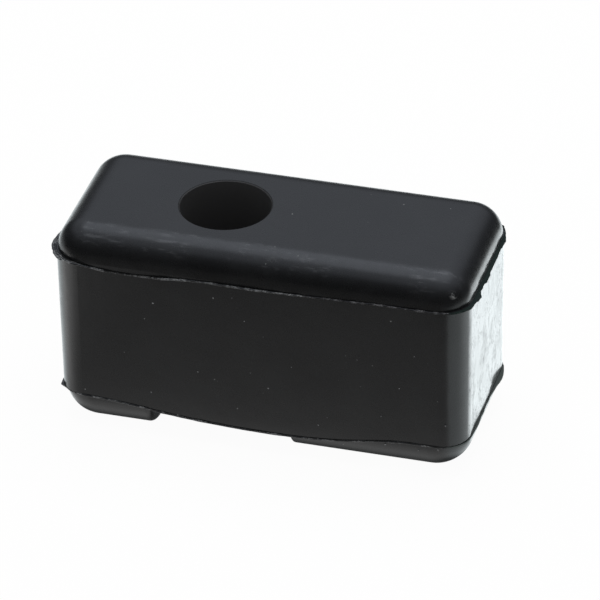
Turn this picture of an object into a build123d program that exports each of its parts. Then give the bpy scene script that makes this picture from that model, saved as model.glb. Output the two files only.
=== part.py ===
from build123d import *
import math
import os

# Rubber door stop: one moulded block, bolted down through a deep counterbored hole.
# It stands on two feet, +Z up. X runs along the block, and the front is the -Y side.
# The origin is the middle of the block's plan, at the level of the feet's undersides.

# Block between the two parting lines of the mould
length = 101.6
depth = 43.2
band_height = 38.0
band_corner = 6.8
band_draft_angle = 0.45

# Crown: the moulded cap above the upper parting line
crown_radius = 7.6
crown_wall = 0.1
crown_corner_flat = 0.4

# Feet: the moulded cap below the lower parting line, split by the notch
foot_radius = 8.6
foot_wall = 0.2
foot_corner_flat = 0.4

# Notch across the underside, measured from the left end
notch_from_left = 23.7
notch_width = 34.4
left_foot_round = 1.5
right_foot_round = 0.8

# Both parting lines sag along the block, the lower one much more
lower_sag = 3.0
upper_sag = 0.65
sag_starts_from_left = 4.0
sag_peak_from_left = 54.8
sag_ends_from_right = 13.0

# Hole for the fixing bolt, with room for its head and washer
hole_from_left = 37.3
head_bore = 22.0
head_bore_depth = 28.0
bolt_bore = 10.5
hole_edge_break = 0.3

# Flash: the thin torn fin of rubber that the mould leaves along each parting line
fin_thickness = 0.3
upper_fin_reach = 0.4
lower_fin_reach = 0.18
upper_end_extra = 0.35
lower_end_extra = 0.2
end_extra_fade = 4.0
back_fin_share = 0.45
back_fin_from_front = 35.5
fin_tear_share = 0.3
fin_station_spacing = 1.7

# Derived levels and places
foot_height = foot_radius + foot_wall
upper_parting = foot_height + band_height
top = upper_parting + crown_wall + crown_radius
left = -length / 2
right = length / 2
front = -depth / 2
hole_x = left + hole_from_left
notch_left = left + notch_from_left
notch_right = notch_left + notch_width
draft_shift = band_height * math.tan(math.radians(band_draft_angle))

# Lumps on the fins: x, y, extra reach and half-width of each
right_fin_y = (front + 9.3, front + 17.0, front + 26.9, front + 33.4)
upper_lumps = [
    (left, front + 8.0, 1.3, 1.1),
    (left + 5.6, front, 0.75, 2.4),
    (left + 27.0, front, 0.25, 3.0),
    (left + 49.0, front, 0.35, 6.0),
    (right, right_fin_y[0], 0.85, 1.3),
    (right, right_fin_y[1], 0.3, 2.2),
    (right, right_fin_y[2], 0.25, 1.3),
    (right, right_fin_y[3], 0.25, 1.1),
]
lower_lumps = [
    (left + 0.9, front + 4.2, 0.8, 1.3),
    (right, front + 11.3, 0.35, 0.9),
    (right, right_fin_y[3], 0.75, 4.6),
]


def torn_outline(base, mean_reach, end_extra, lumps, phase):
    """Points round the base wire, pushed outwards by the uneven reach of a torn fin."""
    stations = round(base.length / fin_station_spacing)
    points = []
    for station in range(stations):
        place = base.position_at(station / stations)
        along = base.tangent_at(station / stations)
        outward = Vector(along.Y, -along.X)
        tear = math.sin(2.3 * station + phase) + math.sin(0.71 * station + 2 * phase)
        reach = mean_reach + end_extra * math.exp(-(((place.X - right) / end_extra_fade) ** 4))
        reach *= 1 + fin_tear_share * tear / 2
        if place.Y > front + back_fin_from_front:
            reach *= back_fin_share
        for lump_x, lump_y, extra, half_width in lumps:
            away = math.hypot(place.X - lump_x, place.Y - lump_y)
            reach += extra * math.exp(-((away / half_width) ** 2))
        torn = place + outward * reach
        points.append((torn.X, torn.Y))
    return points


# Side profile of the two parting lines, which level out before they reach the ends
sag_start = left + sag_starts_from_left
sag_peak = left + sag_peak_from_left
sag_end = right - sag_ends_from_right
lower_line = [
    (sag_start, foot_height),
    ((sag_start + sag_peak) / 2, foot_height - 0.62 * lower_sag),
    (sag_peak, foot_height - lower_sag),
    ((sag_peak + sag_end) / 2, foot_height - 0.68 * lower_sag),
    (sag_end, foot_height),
]
upper_line = [
    (sag_start, upper_parting),
    (sag_start + sag_starts_from_left, upper_parting - 0.85 * upper_sag),
    (hole_x, upper_parting - upper_sag),
    (sag_peak, upper_parting - 0.95 * upper_sag),
    (sag_end, upper_parting),
]
run_out = length / 2 + depth


def parting_line(line_points, lift):
    """A parting line as edges of the open line builder, raised by lift."""
    raised = [(x, z + lift) for x, z in line_points]
    bow = Spline(*raised, tangents=[(1, 0), (1, 0)])
    left_run = Line((-run_out, raised[0][1]), bow @ 0)
    right_run = Line(bow @ 1, (run_out, raised[-1][1]))
    return left_run, right_run


def torn_fin(line_points, shrink, mean_reach, end_extra, lumps, phase):
    """A thin sheet of flash that follows a parting line out to a torn edge."""
    with BuildPart() as fin:
        with BuildSketch(Plane.XZ):
            with BuildLine():
                low_left, low_right = parting_line(line_points, -fin_thickness / 2)
                high_left, high_right = parting_line(line_points, fin_thickness / 2)
                Line(low_left @ 0, high_left @ 0)
                Line(low_right @ 1, high_right @ 1)
            make_face()
        extrude(amount=depth, both=True)
        with BuildSketch():
            base = RectangleRounded(
                length - shrink, depth - shrink, band_corner, mode=Mode.PRIVATE
            )
            with BuildLine():
                wire = base.face().outer_wire()
                Polyline(*torn_outline(wire, mean_reach, end_extra, lumps, phase), close=True)
            make_face()
        extrude(amount=top, mode=Mode.INTERSECT)
    return fin.part


with BuildPart() as under_band:
    with BuildSketch(Plane.XZ):
        with BuildLine():
            left_run, right_run = parting_line(lower_line, 0)
            Polyline(right_run @ 1, (run_out, -depth), (-run_out, -depth), left_run @ 0)
        make_face()
    extrude(amount=depth, both=True)

# Band: flat sides with rounded upright corners, a little narrower at the bottom
with BuildPart() as band:
    with BuildSketch(Plane.XY.offset(upper_parting)):
        RectangleRounded(length, depth, band_corner)
    extrude(amount=-(band_height + lower_sag), taper=band_draft_angle)
    add(under_band.part, mode=Mode.SUBTRACT)

# Feet: a cap with a deep round shoulder, cut into two by the notch
with BuildPart() as feet:
    with BuildSketch():
        RectangleRounded(
            length - 2 * draft_shift,
            depth - 2 * draft_shift,
            foot_radius + foot_corner_flat,
        )
    extrude(amount=foot_height)
    fillet(feet.faces().sort_by(Axis.Z)[0].edges(), radius=foot_radius)
    with BuildSketch():
        with Locations(((notch_left + notch_right) / 2, 0)):
            Rectangle(notch_width, 2 * depth)
    extrude(amount=foot_height, mode=Mode.SUBTRACT)
    for wall_x, foot_round in ((notch_left, left_foot_round), (notch_right, right_foot_round)):
        wall = feet.faces().filter_by(Axis.X).filter_by(
            lambda face, x=wall_x: abs(face.center().X - x) < 0.01
        )[0]
        rim = wall.edges().filter_by(lambda edge: edge.center().Z < foot_height - 0.01)
        fillet(rim, radius=foot_round)

# Crown: a cap with a round shoulder up to the flat top
with BuildPart() as crown:
    with BuildSketch(Plane.XY.offset(upper_parting)):
        RectangleRounded(length, depth, crown_radius + crown_corner_flat)
    extrude(amount=crown_wall + crown_radius)
    fillet(crown.faces().sort_by(Axis.Z)[-1].edges(), radius=crown_radius)

# Flash: one torn fin round each parting line
upper_fin = torn_fin(upper_line, 0, upper_fin_reach, upper_end_extra, upper_lumps, 0.4)
lower_fin = torn_fin(
    lower_line, 2 * draft_shift, lower_fin_reach, lower_end_extra, lower_lumps, 1.9
)

# The whole block, moulded as one, with its fixing hole
with BuildPart() as stop_block:
    add(band.part)
    add(feet.part)
    add(crown.part)
    add(upper_fin)
    add(lower_fin)
    with Locations((hole_x, 0, top)):
        CounterBoreHole(
            radius=bolt_bore / 2,
            counter_bore_radius=head_bore / 2,
            counter_bore_depth=head_bore_depth,
        )
    mouth = stop_block.edges().filter_by(GeomType.CIRCLE).group_by(Axis.Z)[-1]
    chamfer(mouth, length=hole_edge_break)

stop_block.part.label = "stop_block"

os.makedirs("parts", exist_ok=True)
export_step(stop_block.part, "parts/stop_block.step")
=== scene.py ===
"""Looks of a moulded rubber door stop: finish, torn flash, dust and studio, round its CAD block.

Everything is in metres and in the block's own frame: +Z up through the crown, +X along the block
away from the bolt hole's end, and -Y the front. The block's box is read from the frame, and its
other sizes are the ones that its CAD source is made from.
"""

import logging
import math
from dataclasses import dataclass, field
from enum import Enum
from typing import Any, Union

import bpy
from mathutils import Matrix, Vector

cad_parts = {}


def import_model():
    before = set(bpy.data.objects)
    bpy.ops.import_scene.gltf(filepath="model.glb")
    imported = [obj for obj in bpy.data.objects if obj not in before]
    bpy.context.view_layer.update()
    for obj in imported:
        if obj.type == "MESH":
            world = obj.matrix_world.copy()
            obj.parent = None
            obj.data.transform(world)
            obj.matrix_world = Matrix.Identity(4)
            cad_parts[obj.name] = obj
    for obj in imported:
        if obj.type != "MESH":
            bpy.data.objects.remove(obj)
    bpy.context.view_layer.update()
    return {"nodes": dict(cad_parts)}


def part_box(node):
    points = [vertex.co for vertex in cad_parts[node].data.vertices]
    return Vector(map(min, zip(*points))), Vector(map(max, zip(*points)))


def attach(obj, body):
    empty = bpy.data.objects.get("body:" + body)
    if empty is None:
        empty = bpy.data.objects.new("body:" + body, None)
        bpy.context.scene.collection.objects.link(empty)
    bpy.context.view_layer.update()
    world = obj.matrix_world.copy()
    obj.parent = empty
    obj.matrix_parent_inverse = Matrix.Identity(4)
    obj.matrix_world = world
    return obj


log = logging.getLogger("door_stop")

MM = 0.001
BLOCK = "stop_block"

Number = Union[float, "Wire"]
Colour = tuple[float, float, float]
Span = tuple[float, float]
Stretch = tuple[float, float, float]

WHITE: Colour = (1.0, 1.0, 1.0)
EVEN: Stretch = (1.0, 1.0, 1.0)
MIDDLE = 0.5


@dataclass(frozen=True)
class Noise:
    """An uneven pattern: the size of its patches, its finer layers, and how its axes are scaled.

    A stretch under 1 draws the pattern out along that axis.
    """

    size: float
    detail: float = 3.0
    roughness: float = 0.5
    stretch: Stretch = EVEN


class Wire:
    """One output socket of a shader, which takes part in Python expressions."""

    def __init__(self, graph: "ShaderGraph", socket: bpy.types.NodeSocket) -> None:
        """Keeps the socket and the graph that it belongs to."""
        self.graph = graph
        self.socket = socket

    def maths(self, operation: str, *values: Number) -> "Wire":
        """Adds one Math node.

        Args:
            operation: The Math node's operation.
            values: The node's inputs, in order.

        Returns:
            The node's result.
        """
        inputs = dict(enumerate(values))
        return self.graph.node("ShaderNodeMath", {"operation": operation}, inputs)

    def __add__(self, other: Number) -> "Wire":
        """Sum."""
        return self.maths("ADD", self, other)

    def __radd__(self, other: Number) -> "Wire":
        """Sum with a number first."""
        return self.maths("ADD", other, self)

    def __sub__(self, other: Number) -> "Wire":
        """Difference."""
        return self.maths("SUBTRACT", self, other)

    def __rsub__(self, other: Number) -> "Wire":
        """Difference with a number first."""
        return self.maths("SUBTRACT", other, self)

    def __mul__(self, other: Number) -> "Wire":
        """Product."""
        return self.maths("MULTIPLY", self, other)

    def __rmul__(self, other: Number) -> "Wire":
        """Product with a number first."""
        return self.maths("MULTIPLY", other, self)

    def __abs__(self) -> "Wire":
        """Size without sign."""
        return self.maths("ABSOLUTE", self)

    def most(self, other: Number) -> "Wire":
        """The larger of the two."""
        return self.maths("MAXIMUM", self, other)

    def least(self, other: Number) -> "Wire":
        """The smaller of the two."""
        return self.maths("MINIMUM", self, other)

    def rise(self, start: float, end: float) -> "Wire":
        """Runs smoothly from 0 at start to 1 at end. With start above end, it falls instead.

        Args:
            start: The value where the result is 0.
            end: The value where the result is 1.

        Returns:
            The smooth step.
        """
        low, high = min(start, end), max(start, end)
        inputs = {"Value": self, "From Min": low, "From Max": high}
        step = self.graph.node("ShaderNodeMapRange", {"interpolation_type": "SMOOTHSTEP"}, inputs)
        return step if start < end else 1 - step


class ShaderGraph:
    """A node tree that is filled by method calls."""

    def __init__(self, tree: bpy.types.NodeTree) -> None:
        """Empties the tree."""
        self.tree = tree
        tree.nodes.clear()

    def node(
        self,
        kind: str,
        settings: dict[str, Any] | None = None,
        inputs: dict[Any, Any] | None = None,
        output: Any = 0,
    ) -> Wire:
        """Adds a node.

        Args:
            kind: The node's type name.
            settings: Its properties, set before its sockets.
            inputs: Values or wires, by socket name or number.
            output: Name or number of the socket to return.

        Returns:
            The chosen output.
        """
        made = self.tree.nodes.new(kind)
        for name, value in (settings or {}).items():
            setattr(made, name, value)
        for key, value in (inputs or {}).items():
            socket = made.inputs[key]
            if isinstance(value, Wire):
                self.tree.links.new(value.socket, socket)
            else:
                socket.default_value = value
        return Wire(self, made.outputs[output] if len(made.outputs) else None)

    def blend(self, factor: Number, first: Any, second: Any) -> Wire:
        """Mixes two colours.

        Args:
            factor: 0 gives the first colour and 1 the second.
            first: A colour or a wire.
            second: A colour or a wire.

        Returns:
            The mixed colour.
        """
        inputs = {"Factor": factor}
        for key, value in ((6, first), (7, second)):
            inputs[key] = value if isinstance(value, Wire) else (*value, 1.0)
        return self.node("ShaderNodeMix", {"data_type": "RGBA"}, inputs, 2)

    def noise(self, place: Wire, pattern: Noise) -> Wire:
        """Uneven grey noise.

        Args:
            place: The point it is read at.
            pattern: The kind of noise.

        Returns:
            A value round MIDDLE.
        """
        inputs = {
            "Vector": self.stretched(place, pattern.stretch),
            "Scale": 1 / pattern.size,
            "Detail": pattern.detail,
            "Roughness": pattern.roughness,
        }
        return self.node("ShaderNodeTexNoise", {}, inputs, 0)

    def cells(self, place: Wire, spacing: float, stretch: Stretch = EVEN) -> Wire:
        """Distance to the nearest of many scattered points, in cells.

        Args:
            place: The point it is read at.
            spacing: Usual distance between the scattered points, in metres.
            stretch: How the axes are scaled.

        Returns:
            0 at a scattered point, rising away from it.
        """
        inputs = {"Vector": self.stretched(place, stretch), "Scale": 1 / spacing}
        return self.node("ShaderNodeTexVoronoi", {}, inputs, "Distance")

    def stretched(self, place: Wire, stretch: Stretch) -> Wire:
        """The point with each axis scaled, or the point itself where no axis is."""
        if stretch == EVEN:
            return place
        return self.node("ShaderNodeMapping", {}, {"Vector": place, "Scale": stretch})

    def place(self) -> Wire:
        """The point being shaded, in the frame's own coordinates."""
        return self.node("ShaderNodeTexCoord", {}, {}, "Object")

    def length(self, vector: Wire) -> Wire:
        """The length of a vector."""
        return self.node("ShaderNodeVectorMath", {"operation": "LENGTH"}, {0: vector}, "Value")

    def flat(self, x: Wire, y: Wire) -> Wire:
        """A vector in the level plane."""
        return self.node("ShaderNodeCombineXYZ", {}, {"X": x, "Y": y})

    def rays(self) -> tuple[Wire, Wire]:
        """Whether a ray comes from the camera, and whether it is a mirrored one."""
        outputs = self.node("ShaderNodeLightPath").socket.node.outputs
        return Wire(self, outputs["Is Camera Ray"]), Wire(self, outputs["Is Glossy Ray"])

    def bump(self, height: Wire, strength: float, depth: float) -> Wire:
        """The normal of a surface with relief.

        Args:
            height: The relief.
            strength: Share of the relief that shows.
            depth: Height in metres of a relief of 1.

        Returns:
            The normal.
        """
        inputs = {"Strength": strength, "Distance": depth, "Height": height}
        return self.node("ShaderNodeBump", {}, inputs)

    def principled(self, **inputs: Any) -> Wire:
        """A surface shader, with its sockets named in lower case and with underscores."""
        names = {"ior": "IOR", "coat_ior": "Coat IOR", "specular": "Specular IOR Level"}
        sockets = {names.get(key, key.replace("_", " ").title()): inputs[key] for key in inputs}
        return self.node("ShaderNodeBsdfPrincipled", {}, sockets)

    def split(self, vector: Wire) -> tuple[Wire, Wire, Wire]:
        """The three parts of a vector."""
        parts = self.node("ShaderNodeSeparateXYZ", {}, {"Vector": vector})
        outputs = parts.socket.node.outputs
        return Wire(self, outputs[0]), Wire(self, outputs[1]), Wire(self, outputs[2])


@dataclass(frozen=True)
class BlockSizes:
    """The corners of the block's box, and the levels and half-sizes that the finish follows."""

    low: Vector
    high: Vector
    half_length: float = 50.8 * MM
    half_depth: float = 21.6 * MM
    band_corner: float = 6.8 * MM
    lower_parting: float = 8.8 * MM
    upper_parting: float = 46.8 * MM
    hole_x: float = -13.5 * MM
    hole_radius: float = 11.0 * MM
    draft_angle: float = 0.45
    notch_left: float = -27.1 * MM

    def draft_at(self, z: Number) -> Number:
        """How far the band's drafted wall has drawn in at a height."""
        return (self.upper_parting - z) * math.tan(math.radians(self.draft_angle))

    def stand_out(self, point: Vector) -> float:
        """How far a point stands outside the band's wall at the point's own height.

        Args:
            point: The point, in the block's frame.

        Returns:
            The distance in metres, below 0 inside the wall.
        """
        past_x = abs(point.x) - (self.half_length - self.band_corner)
        past_y = abs(point.y) - (self.half_depth - self.band_corner)
        beyond = math.hypot(max(past_x, 0.0), max(past_y, 0.0)) + min(max(past_x, past_y), 0.0)
        return beyond - self.band_corner + self.draft_at(point.z)

    def distance_out(self, graph: ShaderGraph, x: Wire, y: Wire) -> Wire:
        """How far a point stands outside the band's rounded outline.

        Args:
            graph: The shader it is worked out in.
            x: Place along the block.
            y: Place across the block.

        Returns:
            The distance in metres, below 0 inside the outline.
        """
        past_x = abs(x) - (self.half_length - self.band_corner)
        past_y = abs(y) - (self.half_depth - self.band_corner)
        length = graph.length(graph.flat(past_x.most(0.0), past_y.most(0.0)))
        return length + past_x.most(past_y).least(0.0) - self.band_corner


class Surface(Enum):
    """The finishes of the block's skin."""

    MOULDED = "moulded_rubber"
    TORN = "torn_flash_rubber"
    DUST = "rubber_dust"


@dataclass(frozen=True)
class SkinPoint:
    """The point of the block's skin that a shader works on, and how far it faces the right end."""

    graph: ShaderGraph
    place: Wire
    x: Wire
    y: Wire
    z: Wire
    facing_x: Wire

    @classmethod
    def read(cls, graph: ShaderGraph) -> "SkinPoint":
        """Reads the point in a shader."""
        place = graph.place()
        normal = graph.node("ShaderNodeNewGeometry", {}, {}, "Normal")
        return cls(graph, place, *graph.split(place), graph.split(normal)[0])

    def noise(self, pattern: Noise) -> Wire:
        """A pattern's value at the point."""
        return self.graph.noise(self.place, pattern)


@dataclass(frozen=True)
class Regions:
    """Parts of the block's skin, each a mask that is 1 inside its part and 0 outside it."""

    torn: Wire
    torn_end: Wire
    torn_left: Wire
    in_hole: Wire
    end_wall: Wire
    end_face: Wire
    end_brow: Wire
    crown_top: Wire
    front_strip: Wire


@dataclass(frozen=True)
class RegionMap:
    """Where each part of the block's skin starts and ends.

    Every span runs from the value where its mask is 0 to the value where it is 1. The spans of
    band_foot, band_head and brow_foot are measured from the nearest parting line, and the span of
    hole_edge from the hole's radius.
    """

    block: BlockSizes
    torn_reach: Span = (0.03 * MM, 0.08 * MM)
    torn_end_place: Span = (45.0 * MM, 49.0 * MM)
    torn_left_place: Span = (20.0 * MM, -4.0 * MM)
    hole_edge: Span = (0.25 * MM, 0.05 * MM)
    band_foot: Span = (-3.0 * MM, -2.0 * MM)
    band_head: Span = (0.4 * MM, 0.2 * MM)
    wall_facing: Span = (0.94, 0.995)
    wall_place: Span = (49.0 * MM, 50.0 * MM)
    brow_foot: Span = (0.2 * MM, 0.4 * MM)
    brow_facing: Span = (0.87, 0.975)
    brow_place: Span = (48.0 * MM, 49.5 * MM)
    crown_edge: Span = (50.5 * MM, 52.5 * MM)
    strip_edge: Span = (-13.5 * MM, -15.5 * MM)

    def read(self, point: SkinPoint) -> Regions:
        """Works out every mask.

        Args:
            point: The point that the shader works on.

        Returns:
            The masks.
        """
        sizes = self.block
        graph = point.graph
        out = sizes.distance_out(graph, point.x, point.y) + sizes.draft_at(point.z)
        in_band = self._past(point.z, sizes.lower_parting, self.band_foot)
        in_band = in_band * self._past(point.z, sizes.upper_parting, self.band_head)
        torn = out.rise(*self.torn_reach) * in_band
        off_hole = graph.length(graph.flat(point.x - sizes.hole_x, point.y))
        end_wall = point.facing_x.rise(*self.wall_facing) * point.x.rise(*self.wall_place)
        end_wall = end_wall * (1 - torn)
        end_brow = self._past(point.z, sizes.upper_parting, self.brow_foot)
        end_brow = end_brow * point.facing_x.rise(*self.brow_facing)
        end_brow = end_brow * point.x.rise(*self.brow_place)
        return Regions(
            torn=torn,
            torn_end=torn * point.x.rise(*self.torn_end_place),
            torn_left=torn * point.x.rise(*self.torn_left_place),
            in_hole=self._past(off_hole, sizes.hole_radius, self.hole_edge),
            end_wall=end_wall,
            end_face=end_wall * in_band,
            end_brow=end_brow,
            crown_top=point.z.rise(*self.crown_edge),
            front_strip=point.y.rise(*self.strip_edge),
        )

    @staticmethod
    def _past(value: Wire, level: float, span: Span) -> Wire:
        """A mask whose span is measured from a level."""
        return value.rise(level + span[0], level + span[1])


@dataclass(frozen=True)
class Patterns:
    """The uneven patterns that several marks share."""

    clouds: Wire
    mottle: Wire
    streaks: Wire
    patches: Wire
    scratches: Wire


@dataclass(frozen=True)
class Marks:
    """Marks of use on the block's skin, each from 0 for none to 1 for full."""

    dust: Wire
    scuffed: Wire
    pits: Wire
    veins: Wire
    end: Wire


@dataclass(frozen=True)
class RubberFinish:
    """Black moulded rubber: satin skin, polished end with painted reflection, dull torn flash,
    rubs and dust.

    Every span runs from the value where its mark is absent to the value where it is full. Names
    that end in share, wear, reflection or cover are weights of colour, and names that end in
    relief are heights in units of the relief's depth.
    """

    block: BlockSizes
    skin: Colour = (0.0052, 0.0053, 0.0056)
    skin_worn: Colour = (0.0090, 0.0094, 0.0100)
    torn: Colour = (0.010, 0.017, 0.015)
    torn_low: Colour = (0.085, 0.100, 0.096)
    # Paler colour of the bore: painted light inside the hole.
    bore_painted_light: Colour = (0.045, 0.045, 0.046)
    # Painted reflection: the pale colour of the right end and its brow, and a dimmer one where the
    # end is marked.
    painted_reflection_colour: Colour = (0.135, 0.145, 0.145)
    smudged_reflection_colour: Colour = (0.035, 0.040, 0.040)
    # Pale grey for the dust specks, and for the painted highlight on the crown's front right
    # corner.
    grey: Colour = (0.30, 0.31, 0.31)
    # Pale rips on the left flash, laid also as painted light over the dark groove between crown
    # and fin.
    rips_and_painted_light: Colour = (0.11, 0.112, 0.115)
    # Light streaks on the front shoulder: partly rubs, partly painted highlight where the
    # shoulder's highlight band lies.
    rubs_and_highlight: Colour = (0.033, 0.0345, 0.037)

    clouds: Noise = Noise(14.0 * MM, 4.0, 0.55)
    mottle: Noise = Noise(2.2 * MM, 4.0, 0.6)
    streaks: Noise = Noise(2.4 * MM, 6.0, 0.75, (1.0, 1.0, 0.45))
    patches: Noise = Noise(5.5 * MM, 5.0, 0.65, (1.0, 1.0, 0.6))
    scratches: Noise = Noise(0.9 * MM, 3.0, 0.6, (1.0, 0.25, 1.0))
    scuffs: Noise = Noise(8.0 * MM, 2.0)
    rubs: Noise = Noise(1.3 * MM, 4.0, 0.65, (0.22, 1.0, 1.0))
    dust_patches: Noise = Noise(6.0 * MM, 2.0)
    grain: Noise = Noise(0.35 * MM, 3.0, 0.6)
    swell: Noise = Noise(9.0 * MM, 2.0)

    worn_clouds: Span = (0.35, 0.75)
    worn_mottle: Span = (0.5, 0.8)
    reflection_streaks: Span = (0.30, 0.50)
    reflection_mottle: Span = (0.42, 0.6)
    brow_reflection_edge: Span = (0.42, 0.66)
    brow_polish: Span = (0.4, 0.6)
    # The painted highlight on the crown's front right corner: its centre, its reach and its
    # mottle.
    glint_place: tuple[float, float, float] = (47.3 * MM, -18.9 * MM, 50.6 * MM)
    glint_reach: Span = (1.2 * MM, 0.2 * MM)
    glint_mottle: Span = (0.38, 0.55)
    rub_edge: Span = (0.50, 0.66)
    rub_clouds: Span = (0.44, 0.56)
    rip_streaks: Span = (0.46, 0.58)
    torn_height: Span = (20.0 * MM, 30.0 * MM)

    pit_spacing: float = 1.1 * MM
    pit_stretch: Stretch = (1.0, 1.0, 0.7)
    pit_edge: Span = (0.30, 0.16)
    pit_patches: Span = (0.47, 0.56)
    speck_spacing: float = 3.4 * MM
    speck_edge: Span = (0.06, 0.035)
    dust_edge: Span = (0.52, 0.62)
    scuff_edge: Span = (0.44, 0.56)
    scuffed_back: Span = (-4.0 * MM, 22.0 * MM)
    smudge_patches: Span = (0.44, 0.62)
    vein_level: float = 0.47
    vein_width: Span = (0.012, 0.003)
    vein_mottle: Span = (0.42, 0.56)
    clear_streaks: Span = (0.5, 0.35)

    cloud_wear: float = 0.7
    mottle_wear: float = 0.3
    streak_reflection: float = 0.65
    mottle_reflection: float = 0.35
    least_end_reflection: float = 0.45
    brow_reflection: float = 0.5
    back_scuff: float = 0.7
    smooth_smudge: float = 0.2
    scuffed_smudge: float = 0.7
    smudge_share: float = 0.8
    pit_share: float = 0.8
    vein_share: float = 0.9
    dust_cover: float = 0.7
    least_rips_and_light: float = 0.12
    rips_and_light_cover: float = 0.8

    grain_relief: float = 0.012
    swell_relief: float = 0.25
    torn_relief: float = 0.12
    dust_relief: float = 0.05
    pit_relief: float = 0.22
    vein_relief: float = 0.25
    patch_relief: float = 0.2
    streak_relief: float = 0.12

    skin_roughness: float = 0.27
    bore_roughness: float = 0.45
    mottle_roughness: float = 0.16
    cloud_roughness: float = 0.12
    end_polish: float = 0.1
    torn_roughness: float = 0.3
    skin_ior: float = 1.5
    coat_ior: float = 1.6
    coat_roughness: float = 0.12
    coat_haze: float = 0.35
    marked_coat_loss: float = 0.75
    least_brow_coat: float = 0.8
    torn_shine: float = 0.12
    relief_strength: float = 0.5
    relief_depth: float = 1.0 * MM

    def build(self) -> bpy.types.Material:
        """Makes the block's material.

        Returns:
            The material.
        """
        material = bpy.data.materials.new(Surface.MOULDED.value)
        material.use_nodes = True
        graph = ShaderGraph(material.node_tree)
        point = SkinPoint.read(graph)
        regions = RegionMap(self.block).read(point)
        patterns = self._patterns(point)
        marks = self._marks(point, regions, patterns)
        colour = self._end_colour(graph, regions, patterns, marks)
        colour = self._worn_and_highlight_colour(point, regions, patterns, marks, colour)
        colour = self._torn_colour(point, regions, patterns, colour)
        # Painted light: the bore is coloured much paler than the skin.
        colour = graph.blend(regions.in_hole, colour, self.bore_painted_light)
        roughness = self._roughness(regions, patterns)
        height = self._height(point, regions, patterns, marks)
        normal = graph.bump(height, self.relief_strength, self.relief_depth)
        satin = graph.principled(
            base_color=colour,
            roughness=roughness,
            ior=self.skin_ior,
            coat_weight=self._coat(regions, patterns, marks),
            coat_roughness=self.coat_roughness,
            coat_ior=self.coat_ior,
            normal=normal,
        )
        dull = graph.principled(
            base_color=colour, roughness=roughness, specular=self.torn_shine, normal=normal
        )
        skin = graph.node("ShaderNodeMixShader", {}, {0: regions.torn_end, 1: satin, 2: dull})
        graph.node("ShaderNodeOutputMaterial", {}, {"Surface": skin})
        return material

    def _patterns(self, point: SkinPoint) -> Patterns:
        """Reads the shared patterns at the point."""
        return Patterns(
            clouds=point.noise(self.clouds),
            mottle=point.noise(self.mottle),
            streaks=point.noise(self.streaks),
            patches=point.noise(self.patches),
            scratches=point.noise(self.scratches),
        )

    def _marks(self, point: SkinPoint, regions: Regions, patterns: Patterns) -> Marks:
        """Works out the marks of use, most of which show on the right end only."""
        graph = point.graph
        pits = graph.cells(point.place, self.pit_spacing, self.pit_stretch).rise(*self.pit_edge)
        pits = pits * patterns.patches.rise(*self.pit_patches)
        specks = graph.cells(point.place, self.speck_spacing).rise(*self.speck_edge)
        dust = specks * point.noise(self.dust_patches).rise(*self.dust_edge)
        dust = dust * (1 - regions.in_hole) * (1 - regions.torn)
        towards_back = point.y.rise(*self.scuffed_back)
        scuffed = point.noise(self.scuffs).rise(*self.scuff_edge)
        scuffed = scuffed.most(towards_back * self.back_scuff)
        smudged = self.smooth_smudge + self.scuffed_smudge * scuffed
        smudged = patterns.patches.rise(*self.smudge_patches) * smudged
        veins = abs(patterns.patches - self.vein_level).rise(*self.vein_width)
        veins = veins * patterns.mottle.rise(*self.vein_mottle)
        end = (smudged * self.smudge_share).most(pits * self.pit_share * scuffed)
        end = end.most(veins * self.vein_share)
        return Marks(dust=dust, scuffed=scuffed, pits=pits, veins=veins, end=end)

    def _end_colour(
        self, graph: ShaderGraph, regions: Regions, patterns: Patterns, marks: Marks
    ) -> Wire:
        """The skin's colour, with a pale painted reflection on the right end and on the brow above
        it.
        """
        worn = patterns.clouds.rise(*self.worn_clouds) * self.cloud_wear
        worn = worn + patterns.mottle.rise(*self.worn_mottle) * self.mottle_wear
        colour = graph.blend(worn, self.skin, self.skin_worn)
        # The right end's pale, streaked colour is painted reflection, dimmed on its smudges, pits
        # and veins; the brow gets streaks of it too.
        reflection_share = patterns.streaks.rise(*self.reflection_streaks) * self.streak_reflection
        reflection_share = reflection_share + patterns.mottle.rise(*self.reflection_mottle) * self.mottle_reflection
        marked_reflection_colour = graph.blend(marks.end, self.painted_reflection_colour, self.smudged_reflection_colour)
        cover = self.least_end_reflection + (1 - self.least_end_reflection) * reflection_share
        colour = graph.blend(regions.end_face * cover, colour, marked_reflection_colour)
        brow_reflection_streaks = regions.end_brow * patterns.scratches.rise(*self.brow_reflection_edge)
        return graph.blend(brow_reflection_streaks * self.brow_reflection, colour, self.painted_reflection_colour)

    def _worn_and_highlight_colour(
        self, point: SkinPoint, regions: Regions, patterns: Patterns, marks: Marks, colour: Wire
    ) -> Wire:
        """Adds the painted highlight on the front right corner, the specks of dust and the rubbed
        front shoulder, whose streaks are partly painted highlight.
        """
        graph = point.graph
        # Painted highlight: a pale mottled spot where the corner of the crown's shoulder would
        # catch the softbox.
        inputs = {0: point.place, 1: self.glint_place}
        off = graph.node("ShaderNodeVectorMath", {"operation": "DISTANCE"}, inputs, "Value")
        pale_patch = off.rise(*self.glint_reach) * patterns.mottle.rise(*self.glint_mottle)
        colour = graph.blend(pale_patch, colour, self.grey)
        colour = graph.blend(marks.dust * self.dust_cover, colour, self.grey)
        # Light streaks along the front shoulder, only where its highlight falls: partly rubs,
        # partly painted highlight.
        rubs_and_highlight = point.noise(self.rubs).rise(*self.rub_edge)
        rubs_and_highlight = rubs_and_highlight * patterns.clouds.rise(*self.rub_clouds) * (1 - regions.torn)
        on_shoulder = rubs_and_highlight * regions.crown_top * regions.front_strip
        return graph.blend(on_shoulder, colour, self.rubs_and_highlight)

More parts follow.
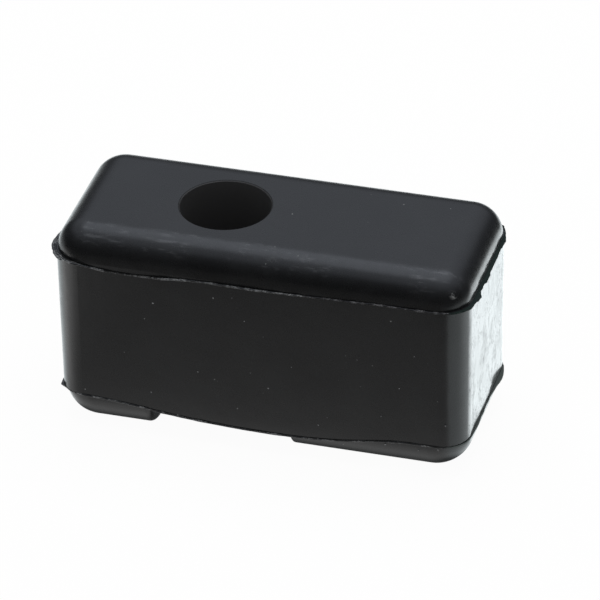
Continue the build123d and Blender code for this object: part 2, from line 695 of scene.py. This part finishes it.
    def _torn_colour(
        self, point: SkinPoint, regions: Regions, patterns: Patterns, colour: Wire
    ) -> Wire:
        """Adds the left flash's pale rips and painted light, and the flat black of its right end.
        """
        graph = point.graph
        rips = patterns.streaks.rise(*self.rip_streaks)
        # Painted light: an even pale layer over the left flash lifts the dark groove between crown
        # and fin, with pale rip streaks over it.
        rips_and_painted_light = regions.torn_left * (self.least_rips_and_light + (1 - self.least_rips_and_light) * rips)
        colour = graph.blend(rips_and_painted_light * self.rips_and_light_cover, colour, self.rips_and_painted_light)
        torn_colour = graph.blend(point.z.rise(*self.torn_height), self.torn_low, self.torn)
        return graph.blend(regions.torn_end, colour, torn_colour)

    def _roughness(self, regions: Regions, patterns: Patterns) -> Wire:
        """How dull the skin is at each point."""
        roughness = self.skin_roughness + (patterns.mottle - MIDDLE) * self.mottle_roughness
        roughness = roughness + (patterns.clouds - MIDDLE) * self.cloud_roughness
        roughness = roughness - regions.end_face * self.end_polish
        roughness = roughness + regions.torn_end * self.torn_roughness
        return roughness + regions.in_hole * (self.bore_roughness - self.skin_roughness)

    def _coat(self, regions: Regions, patterns: Patterns, marks: Marks) -> Wire:
        """How polished the right end and the brow above it are."""
        hazy = patterns.streaks.rise(*self.clear_streaks) * marks.scuffed * self.coat_haze
        clear = 1 - marks.end * self.marked_coat_loss - hazy
        polish = patterns.scratches.rise(*self.brow_polish)
        brow = regions.end_brow * (self.least_brow_coat + (1 - self.least_brow_coat) * polish)
        return (regions.end_wall * clear).most(brow)

    def _height(
        self, point: SkinPoint, regions: Regions, patterns: Patterns, marks: Marks
    ) -> Wire:
        """The skin's fine relief, in units of the relief's depth."""
        grain = point.noise(self.grain)
        swell = point.noise(self.swell)
        height = grain * self.grain_relief + swell * self.swell_relief
        height = height + regions.torn * grain * self.torn_relief + marks.dust * self.dust_relief
        end = marks.pits * marks.scuffed * self.pit_relief + marks.veins * self.vein_relief
        end = end + patterns.patches * self.patch_relief
        end = end + patterns.streaks * marks.scuffed * self.streak_relief
        return height - regions.end_face * end


@dataclass(frozen=True)
class TornFinish:
    """Torn rubber of the flash: black, with pale bruised streaks where it was ripped."""

    black: Colour = (0.008, 0.0085, 0.009)
    bruised: Colour = (0.17, 0.175, 0.18)
    roughness: float = 0.30
    shine: float = 0.5
    ior: float = 1.5
    streaks: Noise = Noise(1.3 * MM, 4.0, 0.6, (0.5, 1.0, 1.0))
    fibres: Noise = Noise(0.3 * MM, 2.0, 0.6)
    bruised_streaks: Span = (0.45, 0.60)
    bruised_fibres: Span = (0.35, 0.6)
    streak_roughness: float = 0.2
    relief_strength: float = 0.6
    relief_depth: float = 0.1 * MM

    def build(self) -> bpy.types.Material:
        """Makes the material.

        Returns:
            The material.
        """
        material = bpy.data.materials.new(Surface.TORN.value)
        material.use_nodes = True
        graph = ShaderGraph(material.node_tree)
        place = graph.place()
        streaks = graph.noise(place, self.streaks)
        fibres = graph.noise(place, self.fibres)
        pale_patch = streaks.rise(*self.bruised_streaks) * fibres.rise(*self.bruised_fibres)
        surface = graph.principled(
            base_color=graph.blend(pale_patch, self.black, self.bruised),
            roughness=self.roughness + (streaks - MIDDLE) * self.streak_roughness,
            ior=self.ior,
            specular=self.shine,
            normal=graph.bump(fibres, self.relief_strength, self.relief_depth),
        )
        graph.node("ShaderNodeOutputMaterial", {}, {"Surface": surface})
        return material


@dataclass(frozen=True)
class DustFinish:
    """Pale crumbs of rubber dust and grit."""

    pale: Colour = (0.21, 0.215, 0.22)
    dark: Colour = (0.07, 0.07, 0.075)
    patches: Noise = Noise(2.0 * MM, 3.0, 0.6)
    dark_patches: Span = (0.4, 0.6)
    roughness: float = 0.7

    def build(self) -> bpy.types.Material:
        """Makes the material.

        Returns:
            The material.
        """
        material = bpy.data.materials.new(Surface.DUST.value)
        material.use_nodes = True
        graph = ShaderGraph(material.node_tree)
        dark = graph.noise(graph.place(), self.patches).rise(*self.dark_patches)
        colour = graph.blend(dark, self.pale, self.dark)
        surface = graph.principled(base_color=colour, roughness=self.roughness)
        graph.node("ShaderNodeOutputMaterial", {}, {"Surface": surface})
        return material


@dataclass
class FlashLip:
    """The rounded, uneven lip that the flash ends in along one parting line.

    It is drawn from the torn edge of the CAD block's own fin, so that it follows the sag of the
    parting line and every tear. The levels, the span and the reach across say which stretch of the
    edge is taken. The depth thickens it, on the inner side where outward is -1 and on the outer
    side where it is 1.
    """

    block: BlockSizes
    name: str
    levels: Span
    span: Span
    across: Span = (-30 * MM, 30 * MM)
    depth: float = 0.40 * MM
    outward: float = -1.0
    swell: float = 0.13 * MM
    lift: float = 0.11 * MM
    unevenness: float = 0.24 * MM
    tear_length: float = 2.9 * MM
    tear_middle: float = 0.5
    edge_gap: float = 0.04 * MM
    upright_limit: float = 0.3
    weld_gap: float = 0.001 * MM
    smoothings: int = 2

    def _is_rim(self, face: bpy.types.MeshPolygon) -> bool:
        """Whether a face is part of the fin's torn edge, in the lip's own stretch."""
        centre = face.center
        spans = ((self.span, centre.x), (self.across, centre.y), (self.levels, centre.z))
        inside = all(low < value < high for (low, high), value in spans)
        upright = abs(face.normal.z) < self.upright_limit
        return inside and upright and self.block.stand_out(centre) > self.edge_gap

    def _copy_rim(self, source: bpy.types.Object) -> bpy.types.Object:
        """Copies the torn edge of the fin out of the CAD block.

        Args:
            source: The CAD block, which stays as it is.

        Returns:
            The torn edge, as a sheet of faces.
        """
        bpy.ops.object.select_all(action="DESELECT")
        rim = bpy.data.objects.new(self.name, source.data.copy())
        bpy.context.scene.collection.objects.link(rim)
        rim.select_set(True)
        bpy.context.view_layer.objects.active = rim
        bpy.ops.object.mode_set(mode="EDIT")
        bpy.ops.mesh.customdata_custom_splitnormals_clear()
        bpy.ops.mesh.select_all(action="SELECT")
        bpy.ops.mesh.remove_doubles(threshold=self.weld_gap)
        bpy.ops.mesh.select_mode(type="FACE")
        bpy.ops.mesh.select_all(action="DESELECT")
        bpy.ops.object.mode_set(mode="OBJECT")
        for face in rim.data.polygons:
            face.select = not self._is_rim(face)
        bpy.ops.object.mode_set(mode="EDIT")
        bpy.ops.mesh.delete(type="FACE")
        bpy.ops.mesh.select_all(action="SELECT")
        bpy.ops.mesh.tris_convert_to_quads()
        bpy.ops.object.mode_set(mode="OBJECT")
        return rim

    def build(self, source: bpy.types.Object, material: bpy.types.Material) -> bpy.types.Object:
        """Models the lip.

        Args:
            source: The CAD block, which stays as it is.
            material: The torn rubber.

        Returns:
            The finished piece.
        """
        lip = self._copy_rim(source)
        self._finish(
            "thickness",
            "SOLIDIFY",
            solidify_mode="NON_MANIFOLD",
            thickness=self.depth,
            offset=self.outward,
        )
        bpy.ops.object.mode_set(mode="EDIT")
        bpy.ops.mesh.select_all(action="SELECT")
        bpy.ops.transform.shrink_fatten(value=self.swell)
        bpy.ops.transform.translate(value=(0.0, 0.0, self.lift))
        bpy.ops.object.mode_set(mode="OBJECT")
        levels = self.smoothings
        self._finish("roundness", "SUBSURF", levels=levels, render_levels=levels)
        tear = bpy.data.textures.new(self.name + "_tear", "CLOUDS")
        tear.noise_scale = self.tear_length
        self._finish(
            "unevenness",
            "DISPLACE",
            texture=tear,
            texture_coords="LOCAL",
            strength=self.unevenness,
            mid_level=self.tear_middle,
        )
        self._keep_in_box(lip)
        bpy.ops.object.shade_smooth()
        lip.data.materials.clear()
        lip.data.materials.append(material)
        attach(lip, "root")
        log.info("%s has %d faces", lip.name, len(lip.data.polygons))
        return lip

    def _finish(self, name: str, kind: str, **settings: Any) -> None:
        """Adds a modifier to the active object and applies it.

        Args:
            name: The modifier's name.
            kind: Its type.
            settings: Its properties.
        """
        modifier = bpy.context.object.modifiers.new(name, kind)
        for key, value in settings.items():
            setattr(modifier, key, value)
        bpy.ops.object.modifier_apply(modifier=name)

    def _keep_in_box(self, lip: bpy.types.Object) -> None:
        """Presses what stands out of the block's own box back onto it."""
        low, high = self.block.low, self.block.high
        for vertex in lip.data.vertices:
            for axis in range(3):
                vertex.co[axis] = min(max(vertex.co[axis], low[axis]), high[axis])


@dataclass
class Flash:
    """The torn flash of both parting lines, in stretches that each have a lip of their own.

    The reaches are heights from a parting line, and the other lengths are places along the block.
    What starts with past is how far a stretch goes beyond the block's end, or starts after the
    notch's left wall.
    """

    block: BlockSizes
    plain: TornFinish = TornFinish()
    on_end: TornFinish = TornFinish(
        black=(0.008, 0.014, 0.012), bruised=(0.03, 0.042, 0.038), roughness=0.5, shine=0.12
    )
    on_right: TornFinish = TornFinish(
        black=(0.010, 0.010, 0.011), bruised=(0.10, 0.10, 0.105), roughness=0.4, shine=0.3
    )
    upper_reach: Span = (-1.2 * MM, 0.4 * MM)
    lower_reach: Span = (-3.6 * MM, 0.4 * MM)
    past_left: float = 2 * MM
    past_right: float = 3 * MM
    upper_right: Span = (12 * MM, 47 * MM)
    end_start: float = 47.5 * MM
    corner_end: float = -44 * MM
    corner_across: Span = (-21.2 * MM, -9 * MM)
    lower: Span = (-46 * MM, 46 * MM)
    past_notch: float = 0.5 * MM

    def build(self, source: bpy.types.Object) -> list[bpy.types.Object]:
        """Models every stretch.

        Args:
            source: The CAD block, which stays as it is.

        Returns:
            The finished pieces.
        """
        plain = self.plain.build()
        on_end = self.on_end.build()
        on_right = self.on_right.build()
        left, right = self._upper_lips()
        foot, rest = self._lower_lips()
        return [
            left.build(source, plain),
            right.build(source, on_right),
            foot.build(source, plain),
            rest.build(source, plain),
            self._end_tears().build(source, on_end),
            self._corner_flap().build(source, plain),
        ]

    def _upper_levels(self) -> Span:
        """Heights between which the upper flash lies."""
        parting = self.block.upper_parting
        return parting + self.upper_reach[0], parting + self.upper_reach[1]

    def _upper_lips(self) -> tuple[FlashLip, FlashLip]:
        """The left and the right lip of the upper parting line."""
        left = FlashLip(
            self.block,
            "upper_flash_lip",
            self._upper_levels(),
            (-self.block.half_length - self.past_left, self.upper_right[0]),
        )
        right = FlashLip(
            self.block,
            "upper_right_flash_lip",
            self._upper_levels(),
            self.upper_right,
            swell=0.09 * MM,
            lift=0.06 * MM,
            unevenness=0.26 * MM,
        )
        return left, right

    def _lower_lips(self) -> tuple[FlashLip, FlashLip]:
        """The lips of the lower parting line, on the left foot and on the rest of the block."""
        parting = self.block.lower_parting
        levels = (parting + self.lower_reach[0], parting + self.lower_reach[1])
        foot = FlashLip(
            self.block,
            "left_foot_lip",
            levels,
            (self.lower[0], self.block.notch_left),
            depth=0.25 * MM,
            swell=0.16 * MM,
            unevenness=0.12 * MM,
        )
        rest = FlashLip(
            self.block,
            "lower_flash_lip",
            levels,
            (self.block.notch_left + self.past_notch, self.lower[1]),
            depth=0.2 * MM,
            swell=0.16 * MM,
            lift=-0.1 * MM,
            unevenness=0.14 * MM,
        )
        return foot, rest

    def _end_tears(self) -> FlashLip:
        """The ragged edge of the upper flash on the right end."""
        return FlashLip(
            self.block,
            "right_end_tears",
            self._upper_levels(),
            (self.end_start, self.block.half_length + self.past_right),
            depth=0.12 * MM,
            outward=1.0,
            swell=0.03 * MM,
            lift=0.0,
            unevenness=0.7 * MM,
            tear_length=1.1 * MM,
        )

    def _corner_flap(self) -> FlashLip:
        """The torn flap of the upper flash on the front left corner."""
        return FlashLip(
            self.block,
            "left_corner_flap",
            self._upper_levels(),
            (-self.block.half_length - self.past_left, self.corner_end),
            across=self.corner_across,
            depth=0.75 * MM,
            outward=1.0,
            swell=0.05 * MM,
            lift=0.0,
            unevenness=0.5 * MM,
            tear_length=1.2 * MM,
        )


@dataclass
class DustCrumbs:
    """Crumbs of dust that stick to the front wall.

    Each place is the crumb's x and z in millimetres, and its size as a share of the usual one.
    """

    block: BlockSizes
    crumb_radius: float = 0.22 * MM
    unevenness: float = 0.25
    shape: Stretch = (1.0, 0.5, 0.75)
    turn: float = 0.9
    seed: int = 5
    places: tuple[tuple[float, float, float], ...] = (
        (30.3, 15.3, 1.0),
        (14.8, 10.1, 1.1),
        (17.0, 12.7, 0.9),
        (31.2, 7.4, 1.3),
        (44.2, 8.0, 1.0),
        (46.0, 15.2, 0.9),
        (39.3, 7.1, 0.8),
        (2.6, 18.6, 0.9),
        (-26.7, 12.5, 1.0),
        (-5.2, 11.5, 0.8),
        (-25.4, 38.2, 1.1),
        (-10.4, 42.1, 0.9),
        (-5.8, 42.9, 0.9),
        (-2.9, 36.8, 0.8),
        (1.6, 33.1, 0.7),
        (24.6, 30.4, 0.7),
        (34.8, 24.0, 0.8),
        (-33.0, 23.0, 0.7),
        (8.4, 25.6, 0.7),
        (38.5, 33.7, 0.6),
    )

    def build(self, material: bpy.types.Material) -> bpy.types.Object:
        """Models one crumb, and sets a copy at each place.

        Args:
            material: The dust.

        Returns:
            The finished piece.
        """
        bpy.ops.object.select_all(action="DESELECT")
        bpy.ops.mesh.primitive_ico_sphere_add(subdivisions=2, radius=self.crumb_radius)
        crumb = bpy.context.object
        bpy.ops.object.mode_set(mode="EDIT")
        bpy.ops.mesh.select_all(action="SELECT")
        bpy.ops.transform.vertex_random(
            offset=self.unevenness * self.crumb_radius, seed=self.seed
        )
        bpy.ops.transform.resize(value=self.shape)
        bpy.ops.object.mode_set(mode="OBJECT")
        copies = []
        for number, (x, z, size) in enumerate(self.places):
            wall = self.block.draft_at(z * MM) - self.block.half_depth
            copy = bpy.data.objects.new(f"crumb_{number}", crumb.data.copy())
            turn = Matrix.Rotation(self.turn * number, 4, "Y")
            stance = Matrix.Translation(Vector((x * MM, wall, z * MM))) @ turn
            copy.data.transform(stance @ Matrix.Scale(size, 4))
            bpy.context.scene.collection.objects.link(copy)
            copies.append(copy)
        bpy.data.objects.remove(crumb)
        for copy in copies:
            copy.select_set(True)
        bpy.context.view_layer.objects.active = copies[0]
        bpy.ops.object.join()
        crumbs = bpy.context.object
        crumbs.name = "dust_crumbs"
        crumbs.data.materials.append(material)
        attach(crumbs, "root")
        log.info("%s has %d crumbs", crumbs.name, len(self.places))
        return crumbs


@dataclass
class StopBlock:
    """The moulded block itself, which keeps its CAD shape."""

    finish: RubberFinish

    def dress(self, block: bpy.types.Object) -> None:
        """Gives the CAD block its finish.

        Args:
            block: The block's object.
        """
        material = self.finish.build()
        block.data.materials.clear()
        block.data.materials.append(material)
        log.info("%s dressed in %s", block.name, material.name)


@dataclass
class Studio:
    """White table, soft light and the camera at the photograph's angle.

    The reflections are how bright each part of the table looks in the rubber. The room's steps
    are how much brighter the room gets there as a direction turns towards the softbox.
    """

    block: BlockSizes
    table_size: float = 4.0
    table_colour: Colour = (0.86, 0.86, 0.86)
    front_edge: Span = (-8 * MM, -24 * MM)
    front_side: Span = (42 * MM, 34 * MM)
    front_skew: float = 0.5
    near_band: Span = (-60 * MM, -26 * MM)
    foot_band: Span = (-34 * MM, -25 * MM)
    left_band: Span = (-50 * MM, -100 * MM)
    open_band: Span = (-35 * MM, -5 * MM)
    far_front: Span = (-86 * MM, -104 * MM)
    far_radius: Span = (170 * MM, 320 * MM)
    far_left_side: Span = (-60 * MM, -160 * MM)
    far_left_depth: Span = (-60 * MM, 0.0)
    under_shadow_edge: Span = (1 * MM, -4 * MM)
    shadow_share: float = 0.04
    front_reflection: float = 0.37
    near_reflection: float = 0.16
    foot_reflection: float = 0.36
    side_reflection: float = 1.1
    open_reflection: float = 1.56
    left_reflection: float = 0.9
    far_reflection: float = 0.12
    far_left_reflection: float = 0.30
    under_shadow_reflection: float = 0.12
    table_tint: Colour = (0.93, 1.0, 1.02)
    sky_tint: Colour = (0.93, 1.0, 1.13)
    softbox_size: float = 0.9
    softbox_height: float = 1.0
    softbox_power: float = 7.0
    softbox_back: float = 0.15
    softbox_tilt: float = -9.0
    softbox_lean: Vector = field(default_factory=lambda: Vector((0.0, 0.28, 0.96)))
    room_fill: float = 0.5
    room_dark: float = 0.03
    room_steps: tuple[tuple[float, Span], ...] = (
        (0.08, (0.0, 0.42)),
        (0.5, (0.42, 0.74)),
        (1.0, (0.85, 0.93)),
    )
    camera_azimuth: float = 16.529
    camera_elevation: float = 32.919
    camera_roll: float = -1.062
    camera_place: Vector = field(default_factory=lambda: Vector((0.31882, -1.05918, 0.74575)))
    focal_length: float = 330.36
    sensor_width: float = 36.0
    camera_reach: float = 20.0

    def lay_table(self) -> bpy.types.Object:
        """Adds the white table, which keeps a very faint shadow.

        Returns:
            The table.
        """
        bpy.ops.object.select_all(action="DESELECT")
        bpy.ops.mesh.primitive_plane_add(size=self.table_size)
        table = bpy.context.object
        table.name = "table"
        material = bpy.data.materials.new("white_table")
        material.use_nodes = True
        graph = ShaderGraph(material.node_tree)
        seen, mirrored = graph.rays()
        paper = graph.node("ShaderNodeBsdfDiffuse", {}, {"Color": (*self.table_colour, 1.0)})
        white = graph.node("ShaderNodeEmission", {}, {"Strength": 1.0})
        whiteness = 1 - self.shadow_share * seen
        shown = graph.node("ShaderNodeMixShader", {}, {0: whiteness, 1: paper, 2: white})
        glow = self._reflection(graph)
        surface = graph.node("ShaderNodeMixShader", {}, {0: seen, 1: paper, 2: shown})
        surface = graph.node("ShaderNodeMixShader", {}, {0: mirrored, 1: surface, 2: glow})
        graph.node("ShaderNodeOutputMaterial", {}, {"Surface": surface})
        table.data.materials.append(material)
        return table

    def _reflection(self, graph: ShaderGraph) -> Wire:
        """How the table looks in the rubber: a lit sheet that is dim in front and far away, with a
        painted shadow under the block.

        Args:
            graph: The table's shader.

        Returns:
            The glow that mirrored rays see.
        """
        place = graph.place()
        x, y, _ = graph.split(place)
        in_front = y.rise(*self.front_edge) * (x + self.front_skew * y).rise(*self.front_side)
        front = self.front_reflection + self.near_reflection * y.rise(*self.near_band)
        front = front + self.foot_reflection * y.rise(*self.foot_band)
        front = front + self.left_reflection * x.rise(*self.left_band)
        opening = self.open_reflection - self.side_reflection
        open_side = self.side_reflection + y.rise(*self.open_band) * opening
        level = open_side + in_front * (front - open_side)
        fade = y.rise(*self.far_front).most(graph.length(place).rise(*self.far_radius))
        far_left = x.rise(*self.far_left_side) * y.rise(*self.far_left_depth)
        far = self.far_reflection + self.far_left_reflection * far_left
        level = level + fade * (far - level)
        # Painted shadow: the glow drops to a dim level under the block and just round it.
        out = self.block.distance_out(graph, x, y)
        level = level + out.rise(*self.under_shadow_edge) * (self.under_shadow_reflection - level)
        tint = graph.blend(in_front, self.table_tint, WHITE)
        return graph.node("ShaderNodeEmission", {}, {"Color": tint, "Strength": level})

    def light(self) -> None:
        """Adds the softbox above and the pale room."""
        place = (0.0, self.softbox_back, self.softbox_height)
        bpy.ops.object.light_add(type="AREA", location=place)
        softbox = bpy.context.object
        softbox.name = "softbox"
        softbox.data.size = self.softbox_size
        softbox.data.energy = self.softbox_power
        softbox.rotation_euler = (math.radians(self.softbox_tilt), 0.0, 0.0)
        softbox.visible_glossy = False

        world = bpy.data.worlds.new("studio_room")
        bpy.context.scene.world = world
        world.use_nodes = True
        graph = ShaderGraph(world.node_tree)
        seen, mirrored = graph.rays()
        direction = graph.node("ShaderNodeTexCoord", {}, {}, "Generated")
        facing = graph.node(
            "ShaderNodeVectorMath",
            {"operation": "DOT_PRODUCT"},
            {0: direction, 1: self.softbox_lean},
            "Value",
        )
        room: Number = self.room_dark
        for step, span in self.room_steps:
            room = room + step * facing.rise(*span)
        level = self.room_fill + mirrored * (room - self.room_fill)
        level = level + seen * (1 - level)
        tint = graph.blend(mirrored * (1 - seen), WHITE, self.sky_tint)
        sky = graph.node("ShaderNodeBackground", {}, {"Color": tint, "Strength": level})
        graph.node("ShaderNodeOutputWorld", {}, {"Surface": sky})

    def aim_camera(self) -> None:
        """Adds the camera with the angles and distance fitted to the photograph's edges."""
        azimuth = math.radians(self.camera_azimuth)
        elevation = math.radians(self.camera_elevation)
        roll = math.radians(self.camera_roll)
        level_right = Vector((math.cos(azimuth), math.sin(azimuth), 0.0))
        back = Vector(
            (
                math.sin(azimuth) * math.cos(elevation),
                -math.cos(azimuth) * math.cos(elevation),
                math.sin(elevation),
            )
        )
        level_up = back.cross(level_right)
        right = math.cos(roll) * level_right + math.sin(roll) * level_up
        up = math.cos(roll) * level_up - math.sin(roll) * level_right
        stance = Matrix((right, up, back)).transposed().to_4x4()
        stance.translation = self.camera_place
        bpy.ops.object.camera_add()
        camera = bpy.context.object
        camera.name = "camera"
        camera.matrix_world = stance
        camera.data.lens = self.focal_length
        camera.data.sensor_width = self.sensor_width
        camera.data.clip_end = self.camera_reach
        bpy.context.scene.camera = camera

    def build(self) -> None:
        """Sets the whole studio."""
        self.lay_table()
        self.light()
        self.aim_camera()
        bpy.context.scene.view_settings.view_transform = "Standard"
        log.info("studio set")


def main() -> None:
    """Builds every piece in order."""
    logging.basicConfig(level=logging.INFO, format="%(name)s: %(message)s")
    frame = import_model()
    sizes = BlockSizes(*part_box(BLOCK))
    block = frame["nodes"][BLOCK]
    lips = Flash(sizes).build(block)
    log.info("flash with %d stretches", len(lips))
    DustCrumbs(sizes).build(DustFinish().build())
    StopBlock(RubberFinish(sizes)).dress(block)
    Studio(sizes).build()


if __name__ == "__main__":
    main()
